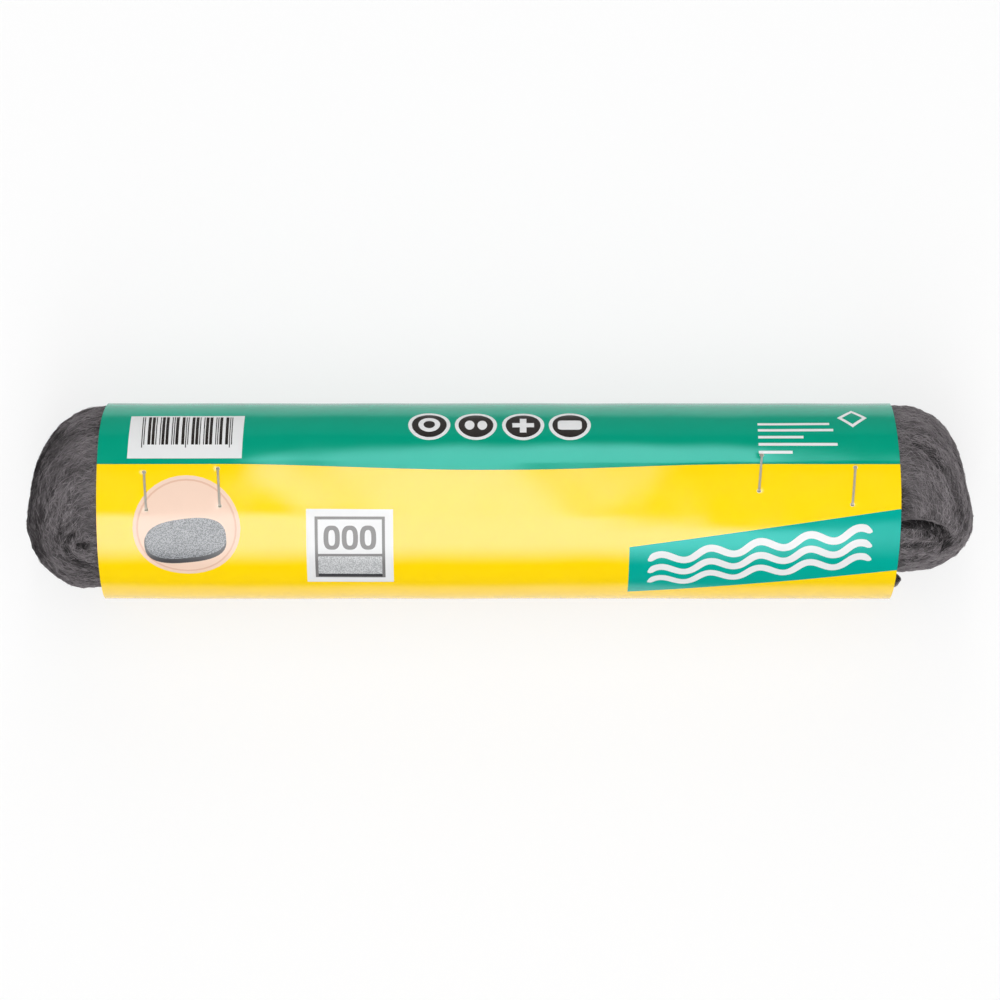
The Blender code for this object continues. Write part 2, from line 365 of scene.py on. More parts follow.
def inside(points, outline):
    """Which points lie in a closed outline."""
    outline = np.array(outline)
    found = np.zeros(len(points), bool)
    near = ((points >= outline.min(0)) & (points <= outline.max(0))).all(1)
    px, py = points[near, 0], points[near, 1]
    crossed = np.zeros(len(px), bool)
    for (ax, ay), (bx, by) in zip(outline, np.roll(outline, -1, axis=0)):
        if ay == by:
            continue
        spans = (ay > py) != (by > py)
        crossed ^= spans & (px < (bx - ax) * (py - ay) / (by - ay) + ax)
    found[near] = crossed
    return found


def hole_outlines():
    """Outlines of the leg holes on the sheet, in x and travel, for each layer a leg goes through."""
    half_along = WIRE_THICKNESS / 2 + HOLE_CLEARANCE
    half_across = WIRE_WIDTH / 2 + HOLE_CLEARANCE
    outlines = []
    for x, distance, tilt in FEET:
        corners = []
        for a, b in ((-1, 1), (1, 1), (1, -1), (-1, -1)):
            along = a * half_along
            across = b * half_across
            corner_x = x + along * sin(tilt) + across * cos(tilt)
            corners.append((corner_x, distance + along * cos(tilt) - across * sin(tilt)))
        edge = FLAP_EDGE - float(flap_bow(x))
        if edge > distance:
            outlines.append([(corner_x, edge - corner) for corner_x, corner in corners])
        outlines.append([(corner_x, FLAP_EDGE + GIRTH - corner) for corner_x, corner in corners])
    return outlines


# Triangles of the sheet: steps along its lines, and spacing and room of the points between them
EDGE_STEP = 0.0012
HOLE_STEP = 0.0005
CHANGE_STEP = 0.0015
FRONT_SPACING = 0.0017
FRONT_ROOM = 0.0006
BACK_SPACING = 0.0042
BACK_ROOM = 0.0016
ROW_PITCH = 0.866
MERGE_DISTANCE = 1e-7
TORN_RADIUS = 0.00072
TORN_CORNERS = 14


def triangulate(loops, lines, spacing, room):
    """
    Places in x and travel, triangles, and the places on the loops, of a sheet that keeps every loop and
    line. The first loop is the sheet's edge, and the others are holes.
    """
    points, edges = [], []
    for outline in loops + lines:
        first = len(points)
        count = len(outline)
        points += outline
        edges += [(first + k, first + (k + 1) % count) for k in range(count)]
    tree = KDTree(len(points))
    for k, point in enumerate(points):
        tree.insert((*point, 0.0), k)
    tree.balance()
    fixed = sum(len(loop) for loop in loops)
    rows = round(SHEET_WIDTH / (spacing * ROW_PITCH))
    columns = round(SLEEVE_LENGTH / spacing)
    for row in range(1, rows):
        travel = SHEET_WIDTH * row / rows
        for column in range(1, columns):
            x = SLEEVE_START + SLEEVE_LENGTH * (column - 0.25 + 0.5 * (row % 2)) / columns
            if tree.find((x, travel, 0.0))[2] > room:
                points.append((x, travel))
    found = delaunay_2d_cdt([Vector(p) for p in points], edges, [], 0, MERGE_DISTANCE, True)
    place = np.array([(p.x, p.y) for p in found[0]])
    faces = np.array([tuple(face) for face in found[2]], int)
    kept = {}
    for k, sources in enumerate(found[3]):
        for source in sources:
            if source < fixed:
                kept[source] = k
    middles = place[faces].mean(1)
    outside = np.ones(len(faces), bool)
    for hole in loops[1:]:
        outside &= ~inside(middles, hole)
    return place, faces[outside], [kept[k] for k in range(fixed)]


def linked_object(name, data):
    thing = bpy.data.objects.new(name, data)
    bpy.context.scene.collection.objects.link(thing)
    return thing


def new_mesh(name, points, faces, materials, slots=None):
    mesh = bpy.data.meshes.new(name)
    mesh.vertices.add(len(points))
    mesh.vertices.foreach_set("co", np.asarray(points, np.float32).ravel())
    faces = np.asarray(faces, np.int32)
    mesh.loops.add(faces.size)
    mesh.loops.foreach_set("vertex_index", faces.ravel())
    mesh.polygons.add(len(faces))
    mesh.polygons.foreach_set("loop_start", np.arange(len(faces), dtype=np.int32) * faces.shape[1])
    for material in materials:
        mesh.materials.append(material)
    if slots is not None:
        mesh.polygons.foreach_set("material_index", np.asarray(slots, np.int32))
    mesh.polygons.foreach_set("use_smooth", np.ones(len(faces), bool))
    mesh.update(calc_edges=True)
    mesh.validate()
    return linked_object(name, mesh)


def torn_rings(holes):
    """A ring on the printed side round each leg hole, inside which the coating is torn."""
    turns = np.linspace(0, 2 * pi, TORN_CORNERS + 1)[:-1]
    rings = []
    for hole in holes:
        x, travel = np.mean(hole, axis=0)
        rings.append([(x + TORN_RADIUS * cos(turn), travel + TORN_RADIUS * sin(turn)) for turn in turns])
    return rings


def printed_side(loops, rings, slots):
    """Places and faces of the printed side, the slot of each face, and the places on the loops."""
    shapes = print_shapes()
    change = [(SLEEVE_START + 0.0002, COLOUR_CHANGE), (SLEEVE_STOP - 0.0002, COLOUR_CHANGE)]
    lines = [split(change, CHANGE_STEP)]
    lines += [split(clip_to_sheet(outline), EDGE_STEP) for _, outline in shapes]
    place, faces, loop_ids = triangulate(loops, lines + rings, FRONT_SPACING, FRONT_ROOM)
    middles = place[faces].mean(1)
    index = np.where(middles[:, 1] < COLOUR_CHANGE, slots.index("yellow"), slots.index("green"))
    for slot, outline in shapes + [("torn", ring) for ring in rings]:
        index[inside(middles, outline)] = slots.index(slot)
    return place, faces, index, loop_ids


def make_sleeve(inks):
    edge = [(SLEEVE_START, 0.0), (SLEEVE_STOP, 0.0)]
    edge += [(x, SHEET_WIDTH) for x, _ in edge[::-1]]
    holes = hole_outlines()
    loops = [split(edge, EDGE_STEP)] + [split(hole, HOLE_STEP) for hole in holes]
    slots = list(inks)
    place, faces, index, loop_ids = printed_side(loops, torn_rings(holes), slots)
    faces = faces[:, ::-1]
    back_place, back_faces, back_ids = triangulate(loops, [], BACK_SPACING, BACK_ROOM)

    outer = sheet_points(place[:, 0], place[:, 1], 0.0)
    inner = sheet_points(back_place[:, 0], back_place[:, 1], PAPER_THICKNESS)
    count = len(outer)
    walls = []
    first = 0
    for loop in loops:
        ids = list(range(first, first + len(loop)))
        first += len(loop)
        for a, b in zip(ids, ids[1:] + ids[:1]):
            walls.append((loop_ids[a], back_ids[b] + count, back_ids[a] + count))
            walls.append((loop_ids[a], loop_ids[b], back_ids[b] + count))
    all_faces = np.vstack([faces, back_faces + count, walls])
    all_slots = np.concatenate([index, np.full(len(back_faces) + len(walls), slots.index("bare"))])
    points = np.vstack([outer, inner])
    sleeve = new_mesh("printed_sleeve", points, all_faces, list(inks.values()), all_slots)

    normals = sheet_normals(place[:, 0], place[:, 1])[faces].reshape(-1, 3)
    back_normals = -sheet_normals(back_place[:, 0], back_place[:, 1])[back_faces].reshape(-1, 3)
    wall_faces = sleeve.data.polygons[len(faces) + len(back_faces) :]
    wall_normals = np.repeat([face.normal for face in wall_faces], 3, axis=0)
    sleeve.data.normals_split_custom_set(np.vstack([normals, back_normals, wall_normals]).tolist())
    add_map(sleeve.data, sleeve_map(place, faces, back_place, back_faces, len(walls)))
    return sleeve


def sleeve_map(place, faces, back_place, back_faces, walls):
    """Texture places: the printed side fills most of the square, with the rest above it."""
    size = np.array([SLEEVE_LENGTH, SHEET_WIDTH])
    start = np.array([SLEEVE_START, 0.0])
    front = 0.002 + (place[faces] - start) / size * [0.996, 0.9]
    back = [0.002, 0.91] + (back_place[back_faces] - start) / size * [0.996, 0.07]
    edges = np.tile([[0.01, 0.985], [0.99, 0.985], [0.99, 0.995]], (walls, 1))
    return np.vstack([front.reshape(-1, 2), back.reshape(-1, 2), edges])


def add_attribute(mesh, name, kind, key, values):
    made = mesh.attributes.new(name, kind, "POINT")
    made.data.foreach_set(key, np.asarray(values, np.float32).ravel())


def add_map(mesh, places):
    layer = mesh.uv_layers.new(name="OFBake", do_init=False)
    layer.uv.foreach_set("vector", np.asarray(places, np.float32).ravel())


def clip_to_sheet(outline):
    low = SLEEVE_START + 0.0001
    high = SLEEVE_STOP - 0.0001
    return [(min(max(x, low), high), travel) for x, travel in outline]


# Steel wool

# Eye of each end, the middle of its innermost turn
EYES = {-1: (0.1365, -0.015), 1: (0.1345, -0.01)}
LEVEL_DEPTH = 0.03
TURN_LENGTH = 0.02
# Rings: step round the section, rings of each end, and reach and rings of the straight middle
RING_STEP = 0.001
END_RINGS = 56
STRAIGHT_REACH = 0.124
STRAIGHT_RINGS = 16
# Roundness of the visible ends: power of the outline by how far out it is, from the mouth to the tip
END_DEPTH = 0.0038
EDGE_POWERS = [(0.0, 2.8), (1.0, 2.8)]
LEFT_UPPER = [(0.25, 2.5), (0.45, 2.28), (0.7, 2.26), (0.8, 2.34), (0.91, 2.33), (0.98, 1.45)]
LEFT_UPPER += [(1.0, 1.35)]
LEFT_LOWER = [(0.3, 1.6), (0.5, 1.8), (0.65, 1.88), (0.8, 1.95), (1.0, 1.9)]
RIGHT_UPPER = [(0.36, 2.78), (0.54, 2.5), (0.68, 2.35), (0.81, 2.26), (0.87, 2.05), (0.94, 1.52)]
RIGHT_LOWER = [(0.0, 2.5), (1.0, 2.5)]
# The last turn at the right end is tucked in, and the left mouth is pinched on the flap's side
TUCK_START = 0.125
TUCK_STOP = 0.1325
TUCK_SHARE = 0.685
MOUTH_PINCH = 0.14
PINCH_START = 0.122
PINCH_RISE = 0.01
PINCH_STOP = 0.131
PINCH_FALL = 0.012
# Relief of the turns: height, sizes out from the eye, along the turns and up, and shift
TURN_RELIEF = [(0.0004, 0.004, 0.024, 0.011, 7.0), (0.00035, 0.0016, 0.011, 0.005, 3.0)]
# Relief that runs along no turn: height and size
LUMPS = [(0.00035, 0.007), (0.00045, 0.0024)]
MOST_RELIEF = 0.0006
RELIEF_START = 0.01
FIBRE_ROOM = 0.0003
TIP_ROOM = 0.0007
TIP_ROOM_START = 0.145
TIP_ROOM_REACH = 0.012
# Grooves between the turns: side, depth, half width, and line seen from above
GROOVES = [
    (1, 0.004, 0.0012, [(0.131, -0.0082), (0.137, -0.0076), (0.143, -0.008)]
        + [(0.1475, -0.01), (0.149, -0.0135), (0.1478, -0.016)]),
    (1, 0.003, 0.0009, [(0.14, -0.0108), (0.144, -0.0112), (0.1462, -0.013)]),
    (1, 0.002, 0.0009, [(0.134, -0.015), (0.139, -0.0144), (0.144, -0.015)]),
    (1, 0.0018, 0.0009, [(0.132, -0.0205), (0.137, -0.0192), (0.143, -0.019)]),
    (1, 0.0009, 0.0016, [(0.133, 0.004), (0.134, -0.003)]),
    (1, 0.0008, 0.0016, [(0.134, 0.0205), (0.143, 0.016), (0.15, 0.006), (0.153, -0.006)]),
    (-1, 0.0038, 0.0009, [(0.1378, -0.0152), (0.1398, -0.015)]),
    (-1, 0.0026, 0.0008, [(0.135, -0.0222), (0.14, -0.0205), (0.1434, -0.0172)]
        + [(0.1438, -0.0136), (0.1415, -0.0112)]),
    (-1, 0.0009, 0.0008, [(0.133, -0.0258), (0.14, -0.0228), (0.1462, -0.0186)]
        + [(0.1478, -0.013), (0.145, -0.0088), (0.14, -0.007)]),
    (-1, 0.0013, 0.0018, [(0.1535, 0.015), (0.151, 0.019), (0.146, 0.0232)]),
    (-1, 0.0008, 0.0014, [(0.142, 0.01), (0.148, 0.004), (0.151, -0.004)]),
]
# Painted shade in the core's colour: it is fully dark where a groove is this deep
GROOVE_SHADE_REACH = 0.003
END_SHIFT = 0.2
# Tuft of the strand's end
TUFT_MIDDLE = Vector((0.1265, -0.0268, AXIS_HEIGHT - 0.003))
TUFT_HALF = Vector((0.0084, 0.0037, 0.0075))
TUFT_ROWS = 16
TUFT_COLUMNS = 24
# Fibres: how many in a piece, their course, and how high each layer arches over the core
FIBRES_PER_PIECE = 9990
FIBRES_ON_TUFT = 400
FIBRE_START = 0.0055
FIBRE_LENGTH = 0.0034
FIBRE_STEPS = 4
FIBRE_LIFTS = (0.0002, 0.00045)
FIBRE_WIDTHS = (0.00008, 0.00018)
TUFT_STRAY = 0.0001
TUFT_WIDTHS = (0.00007, 0.00017)
FIBRE_TAPER = 0.65
BARE_GROOVE = 0.0006
GROOVE_CHANCE = 0.005
LOOSE_SHARE = 0.35
LOOSE_SWAY = 1.0
NEAT_SWAY = 0.35
CURL = 0.5
# Tones of the fibres, from 0 dark to 1 light, with sizes and shift of their bundles and patches, and the
# painted shade over the grooves
END_TONES = {-1: 0.52, 1: 0.66}
BUNDLE_TONES = {-1: 0.66, 1: 0.48}
PATCH_TONE = 0.38
# Painted shade: fibres over a groove are darker by this tone for each depth of this much
GROOVE_SHADE_TONE = 0.8
GROOVE_SHADE_DEPTH = 0.002
TONE_SPREAD = 0.2
BUNDLES = (0.0006, 0.0024, 0.002, 5.0)
PATCHES = (0.0034, 0.0085, 0.006, 2.0)


def wool_rings():
    """Rings of points of the wound hank from tip to tip, without its two poles."""
    rounds = np.linspace(0, GIRTH, round(GIRTH / RING_STEP), endpoint=False)
    y, z, out_y, out_z = section(rounds)
    y, z = y - out_y * WOOL_INSET, z - out_z * WOOL_INSET
    turns = np.sin(pi / 2 * np.arange(1, END_RINGS) / END_RINGS)
    straight = np.linspace(-STRAIGHT_REACH, STRAIGHT_REACH, STRAIGHT_RINGS)
    right = STRAIGHT_REACH + (WOOL_TIP - STRAIGHT_REACH) * turns
    rings = []
    for x in np.concatenate([-right[::-1], straight, right]):
        side = side_of(x)
        lower, upper, flat = wool_shares(side, x)
        tip_y = TIP_Y[side]
        ring_y = tip_y + (y - tip_y) * np.where(y > tip_y, upper, lower)
        ring_z = AXIS_HEIGHT + (z - AXIS_HEIGHT) * flat
        rings.append(np.stack([np.full(len(y), x), ring_y, ring_z], axis=-1))
    return np.array(rings)


def rounded_off(run, powers):
    """What is left of a section at a share of the way to the tip."""
    power = float(np.interp(run, *zip(*powers)))
    return (1 - run**power) ** (1 / power)


def wool_shares(side, x):
    """How much of the full section is left at x, towards -Y, towards +Y and in height."""
    mouth = MOUTHS[side]
    run = held((side * x - (mouth - END_DEPTH)) / (WOOL_TIP - mouth + END_DEPTH))
    if side > 0:
        tuck = 1 - (1 - TUCK_SHARE) * float(grown(x, TUCK_START, TUCK_STOP - TUCK_START))
        lower = tuck * rounded_off(held((x - TUCK_STOP) / (WOOL_TIP - TUCK_STOP)), RIGHT_LOWER)
        upper = rounded_off(run, RIGHT_UPPER)
    else:
        pinch = float(grown(-x, PINCH_START, PINCH_RISE) * (1 - grown(-x, PINCH_STOP, PINCH_FALL)))
        lower = (1 - MOUTH_PINCH * pinch) * rounded_off(run, LEFT_LOWER)
        upper = rounded_off(run, LEFT_UPPER)
    return lower, upper, rounded_off(run, EDGE_POWERS)


def from_eye(side, point):
    """How far a point lies out from the eye and across it, and how far the wool reaches that way."""
    eye_x, eye_y = EYES[side]
    across = point.y - eye_y
    reach_across = WOOL_RADIUS - eye_y if across > 0 else WOOL_RADIUS + eye_y
    return side * point.x - eye_x, across, WOOL_TIP - eye_x, reach_across


def turn_place(side, point):
    """Where a point lies among the turns of the hank: out from the eye, along the turns, and up."""
    over, across, reach_out, reach_across = from_eye(side, point)
    out = max(0.0, over)
    level = hypot(out / reach_out, across / reach_across)
    turn = atan2(across, out) if out > 0 else copysign(pi / 2, across)
    along = TURN_LENGTH * turn + copysign(max(0.0, -over), across)
    return Vector((level * LEVEL_DEPTH, along, point.z))


def turn_noise(place, size_out, size_along, size_up, shift):
    return noise.noise(Vector((place.x / size_out, place.y / size_along, place.z / size_up + shift)))


def flow(side, point):
    """Direction in which the strand runs, seen from above."""
    over, across, reach_out, reach_across = from_eye(side, point)
    slope_x = side * max(0.0, over) / reach_out**2
    return Vector((-across / reach_across**2, slope_x, 0.0))


def line_distance(x, y, line):
    best = 1.0
    for (ax, ay), (bx, by) in zip(line, line[1:]):
        share = held(((x - ax) * (bx - ax) + (y - ay) * (by - ay)) / ((bx - ax) ** 2 + (by - ay) ** 2))
        best = min(best, hypot(x - ax - share * (bx - ax), y - ay - share * (by - ay)))
    return best


def groove_depth(side, point, outward):
    """How deep the grooves between the turns are at a point."""
    depth = 0.0
    for end, deepest, half_width, line in GROOVES:
        if end == side and outward.z > 0:
            far = line_distance(side * point.x, point.y, line)
            if far < 3 * half_width:
                depth += deepest * outward.z * exp(-((far / half_width) ** 2))
    return depth


def wool_relief(point, outward):
    """How far the wool's surface stands out from its plain shape at a point."""
    side = side_of(point.x)
    bare = side * point.x - MOUTHS[side]
    if bare < -RELIEF_START:
        return 0.0
    place = turn_place(side, point)
    out = 0.0
    for height, *sizes, shift in TURN_RELIEF:
        out += height * turn_noise(place, *sizes, shift * side)
    for height, size in LUMPS:
        out += height * noise.noise(point / size)
    out -= groove_depth(side, point, outward) + FIBRE_ROOM
    out -= TIP_ROOM * grown(side * point.x, TIP_ROOM_START, TIP_ROOM_REACH)
    out = min(out, MOST_RELIEF)
    return out * grown(bare, -0.001, 0.006) if out > 0 else out * grown(bare, -RELIEF_START, 0.008)


def tube_faces(rings, count):
    """Outward faces between rings of count points each."""
    faces = []
    for ring in range(rings - 1):
        a = ring * count
        b = a + count
        for j in range(count):
            k = (j + 1) % count
            faces += [(a + j, b + j, b + k), (a + j, b + k, a + k)]
    return faces


def shell_faces(rings, count):
    """The same, with both ends closed towards two poles, which come after the rings."""
    faces = tube_faces(rings, count)
    pole = rings * count
    last = pole - count
    for j in range(count):
        k = (j + 1) % count
        faces += [(pole, j, k), (pole + 1, last + k, last + j)]
    return np.array(faces)


def make_core(material):
    rings = wool_rings()
    padded = np.concatenate([rings[:1], rings, rings[-1:]])
    along = padded[2:] - padded[:-2]
    across = np.roll(rings, -1, axis=1) - np.roll(rings, 1, axis=1)
    outward = np.cross(along, across)
    outward /= np.linalg.norm(outward, axis=-1, keepdims=True)
    directions = [Vector(direction) for direction in outward.reshape(-1, 3)]
    points = []
    for plain, direction in zip(rings.reshape(-1, 3), directions):
        point = Vector(plain)
        points.append(point + direction * wool_relief(point, direction))
    for side in (-1, 1):
        points.append(Vector((side * WOOL_TIP, TIP_Y[side], AXIS_HEIGHT)))
        directions.append(Vector())
    core = new_mesh("wool_core", points, shell_faces(*rings.shape[:2]), [material])

    places = []
    depths = []
    for point, direction in zip(points, directions):
        side = side_of(point.x)
        place = turn_place(side, point)
        places.append((place.x, place.y, place.z + END_SHIFT * side))
        depths.append(groove_depth(side, point, direction))
    add_attribute(core.data, "turns", "FLOAT_VECTOR", "vector", places)
    # Painted shade: the core's colour is darker in the grooves, by their depth
    groove_shade_factors = np.clip(1 - np.array(depths) / GROOVE_SHADE_REACH, 0.0, 1.0)
    add_attribute(core.data, "groove_shade_factor", "FLOAT", "value", groove_shade_factors)
    return core


def make_tuft(material):
    """End of the strand, tucked in beside the last turn and seen at the right mouth of the sleeve."""
    points = []
    for row in range(1, TUFT_ROWS):
        tilt = pi * row / TUFT_ROWS
        for column in range(TUFT_COLUMNS):
            turn = 2 * pi * column / TUFT_COLUMNS
            out = sin(tilt)
            way = Vector((cos(tilt), out * cos(turn), out * sin(turn)))
            points.append(TUFT_MIDDLE + way * TUFT_HALF * (1 + 0.12 * noise.noise(way * 2.1)))
    for end in (1, -1):
        points.append(TUFT_MIDDLE + Vector((end * TUFT_HALF.x, 0, 0)))
    return new_mesh("wool_tuft", points, shell_faces(TUFT_ROWS - 1, TUFT_COLUMNS), [material])


def left_painted_shade(point):
    """How much painted shade the left end's fibres get: darker at its tip and upper shoulder, less a
    painted light patch in its middle.
    """
    tip = float(grown(-point.x, 0.1485, 0.006))
    shoulder = float(grown(-point.x, 0.14, 0.008) * grown(point.y, 0.004, 0.01))
    middle = exp(-(((point.x + 0.144) / 0.0055) ** 2) - ((point.y - 0.0005) / 0.0105) ** 2)
    # painted shade at the tip and shoulder, less a painted light patch in the middle
    return 0.44 * tip + 0.3 * shoulder * (1 - 0.6 * tip) - 0.2 * middle


# Tone of a fibre: random bundles and patches, with painted shade over the grooves and painted shade and
# light on the left end
def fibre_tone(side, point, normal):
    place = turn_place(side, point)
    bundle = turn_noise(place, *BUNDLES)
    patch = turn_noise(place, *PATCHES)
    # painted shade: fibres over the grooves are darker with the groove's depth
    groove_shade = groove_depth(side, point, normal) / GROOVE_SHADE_DEPTH
    tone = END_TONES[side] + BUNDLE_TONES[side] * bundle + PATCH_TONE * patch - GROOVE_SHADE_TONE * groove_shade
    # painted shade and painted light on the left end
    if side < 0:
        tone -= left_painted_shade(point)
    return tone


def trace_fibres(tree, seeds, side, lift, stray):
    """Fibres from seed points along the turns: their points, outward directions and tones."""
    lines, outs, tones = [], [], []
    for seed in seeds:
        point, normal, _, _ = tree.find_nearest(seed)
        if groove_depth(side, point, normal) > GROOVE_CHANCE * random.random() + BARE_GROOVE:
            continue
        reach = FIBRE_LENGTH * random.uniform(0.6, 1.4)
        loose = random.random() < LOOSE_SHARE
        sway = random.normal(0.0, LOOSE_SWAY if loose else NEAT_SWAY)
        curl = random.normal(0.0, CURL)
        heading = random.choice((-1.0, 1.0))
        high = lift * random.uniform(0.0, 1.0) ** 2
        line, out = [], []
        for step in range(FIBRE_STEPS):
            share = step / (FIBRE_STEPS - 1)
            direction = flow(side, point) * heading
            direction -= normal * direction.dot(normal)
            direction.normalize()
            direction += normal.cross(direction) * (sway + curl * (share - 0.5) * 2)
            direction.normalize()
            line.append(point + normal * (high * sin(pi * share) + stray * share**2))
            out.append(normal.copy())
            point, normal, _, _ = tree.find_nearest(point + direction * (reach / (FIBRE_STEPS - 1)))
        lines.append(line)
        outs.append(out)
        tones.append(held(fibre_tone(side, line[0], out[0]) + random.normal(0.0, TONE_SPREAD)))
    return np.array(lines), np.array(outs), np.array(tones)


def make_fibres(name, lines, outs, tones, widths, material):
    """Closed three-sided tubes along the lines, thinner at their ends."""
    count, steps, _ = lines.shape
    run = np.gradient(lines, axis=1)
    run /= np.linalg.norm(run, axis=-1, keepdims=True) + 1e-12
    across = np.cross(run, outs)
    across /= np.linalg.norm(across, axis=-1, keepdims=True) + 1e-12
    up = np.cross(across, run)
    share = np.linspace(-1, 1, steps)
    size = widths[:, None, None] / 2 * (1 - FIBRE_TAPER * np.abs(share) ** 3)[None, :, None]
    corners = []
    for k in range(3):
        angle = radians(90 + 120 * k)
        corners.append(lines + (across * cos(angle) + up * sin(angle)) * size)
    points = np.stack(corners, axis=2).reshape(-1, 3)
    end = (steps - 1) * 3
    faces = np.array(tube_faces(steps, 3) + [(0, 1, 2), (end + 2, end + 1, end)])
    every = (np.arange(count) * steps * 3)[:, None, None] + faces[None]
    fibres = new_mesh(name, points, every.reshape(-1, 3), [material])
    add_attribute(fibres.data, "tone", "FLOAT", "value", np.repeat(tones, steps * 3))
    cells = ceil(sqrt(count))
    cell = np.stack([np.arange(count) % cells, np.arange(count) // cells], axis=-1) / cells
    local_x = 0.15 + 0.7 * np.repeat(np.linspace(0, 1, steps), 3)
    local_y = 0.2 + 0.3 * np.tile(np.arange(3), steps)
    local = np.stack([local_x, local_y], axis=-1)
    places = cell[:, None, None] + (local[faces] / cells)[None]
    add_map(fibres.data, places.reshape(-1, 2))
    return fibres


def seeds_on(core, side, count):
    """Random places on one visible end of the core, evenly over its surface."""
    mesh = core.data
    faces = np.array([face.vertices[:] for face in mesh.polygons])
    points = np.array([vertex.co for vertex in mesh.vertices])
    shown = (points[faces][:, :, 0] * side > MOUTHS[side] - FIBRE_START).all(1)
    corners = points[faces[shown]]
    start = corners[:, 0]
    edge_a = corners[:, 1] - start
    edge_b = corners[:, 2] - start
    area = np.linalg.norm(np.cross(edge_a, edge_b), axis=1)
    pick = random.choice(len(corners), count, p=area / area.sum())
    a, b = random.random((2, count, 1))
    flip = (a + b) > 1
    a, b = np.where(flip, 1 - a, a), np.where(flip, 1 - b, b)
    return [Vector(place) for place in start[pick] + a * edge_a[pick] + b * edge_b[pick]]


def add_fibres(name, core, side, count, lift, stray, widths, material):
    """One piece of fibres on a core."""
    mesh = core.data
    tree = BVHTree.FromPolygons([v.co for v in mesh.vertices], [p.vertices for p in mesh.polygons])
    lines, outs, tones = trace_fibres(tree, seeds_on(core, side, count), side, lift, stray)
    fibres = make_fibres(name, lines, outs, tones, random.uniform(*widths, len(lines)), material)
    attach(fibres, "root")


# Materials

def new_material(name, **values):
    material = bpy.data.materials.new(name)
    material.use_nodes = True
    tree = material.node_tree
    shader = tree.nodes["Principled BSDF"]
    for label, value in values.items():
        shader.inputs[label.replace("_", " ").title().replace("Ior", "IOR")].default_value = value
    return material, tree, shader


def node(tree, kind, **values):
    made = tree.nodes.new(kind)
    for key, value in values.items():
        setattr(made, key, value)
    return made


def link(source, socket):
    socket.id_data.links.new(source, socket)


def noise_node(tree, scale, detail=2.0, stretch=None, place=None):
    made = node(tree, "ShaderNodeTexNoise")
    made.inputs["Scale"].default_value = scale
    made.inputs["Detail"].default_value = detail
    place = place or node(tree, "ShaderNodeTexCoord").outputs["Object"]
    if stretch:
        mapping = node(tree, "ShaderNodeMapping")
        mapping.inputs["Scale"].default_value = stretch
        link(place, mapping.inputs["Vector"])
        place = mapping.outputs["Vector"]
    link(place, made.inputs["Vector"])
    return made.outputs["Fac"]


def ramp(source, low, high, start=0.3, stop=0.7):
    """Colours between low and high by a value between start and stop."""
    made = node(source.id_data, "ShaderNodeValToRGB")
    for element, place, colour in zip(made.color_ramp.elements, (start, stop), (low, high)):
        element.position = place
        element.color = (*colour, 1.0)
    link(source, made.inputs["Fac"])
    return made.outputs["Color"]


def between(source, low, high, start=0.3, stop=0.7, steps="LINEAR"):
    made = node(source.id_data, "ShaderNodeMapRange", interpolation_type=steps)
    for label, value in (("From Min", start), ("From Max", stop), ("To Min", low), ("To Max", high)):
        made.inputs[label].default_value = value
    link(source, made.inputs["Value"])
    return made.outputs["Result"]


def fade(source, start, stop):
    """0 at start and 1 at stop, with a soft step between them."""
    return between(source, 0.0, 1.0, start, stop, "SMOOTHSTEP")


def calculate(operation, *values):
    made = node(values[0].id_data, "ShaderNodeMath", operation=operation)
    for socket, value in zip(made.inputs, values):
        if isinstance(value, (int, float)):
            socket.default_value = value
        else:
            link(value, socket)
    return made.outputs[0]


def times(first, second):
    return calculate("MULTIPLY", first, second)


def scaled(source, factor, plus):
    return calculate("MULTIPLY_ADD", source, factor, plus)


def larger(first, second):
    return calculate("MAXIMUM", first, second)


def bump(shader, source, strength, distance):
    made = node(source.id_data, "ShaderNodeBump")
    made.inputs["Strength"].default_value = strength
    made.inputs["Distance"].default_value = distance
    link(source, made.inputs["Height"])
    link(made.outputs["Normal"], shader.inputs["Normal"])


def shade(colour, factor):
    return tuple(min(1.0, channel * factor) for channel in colour)


def ink(name, colour, roughness=0.09, variation=0.012, speckle=None, tint=(1.0, 1.0, 1.0), gloss=0.75):
    """Coated paper printed in one colour: a faint mottle of the ink and a slightly uneven gloss."""
    material, tree, shader = new_material(name, specular_ior_level=gloss)
    shader.inputs["Specular Tint"].default_value = (*tint, 1.0)
    mottle = noise_node(tree, scale=160.0)
    colour_out = ramp(mottle, shade(colour, 1 - variation), shade(colour, 1 + variation))
    if speckle:
        grain = noise_node(tree, scale=2600.0, detail=1.0)
        colour_out = ramp(grain, *speckle, 0.42, 0.58)
    link(colour_out, shader.inputs["Base Color"])
    roughness_out = between(noise_node(tree, scale=90.0), roughness - 0.02, roughness + 0.02)
    link(roughness_out, shader.inputs["Roughness"])
    bump(shader, noise_node(tree, scale=1500.0, detail=3.0), strength=0.02, distance=0.0001)
    return material


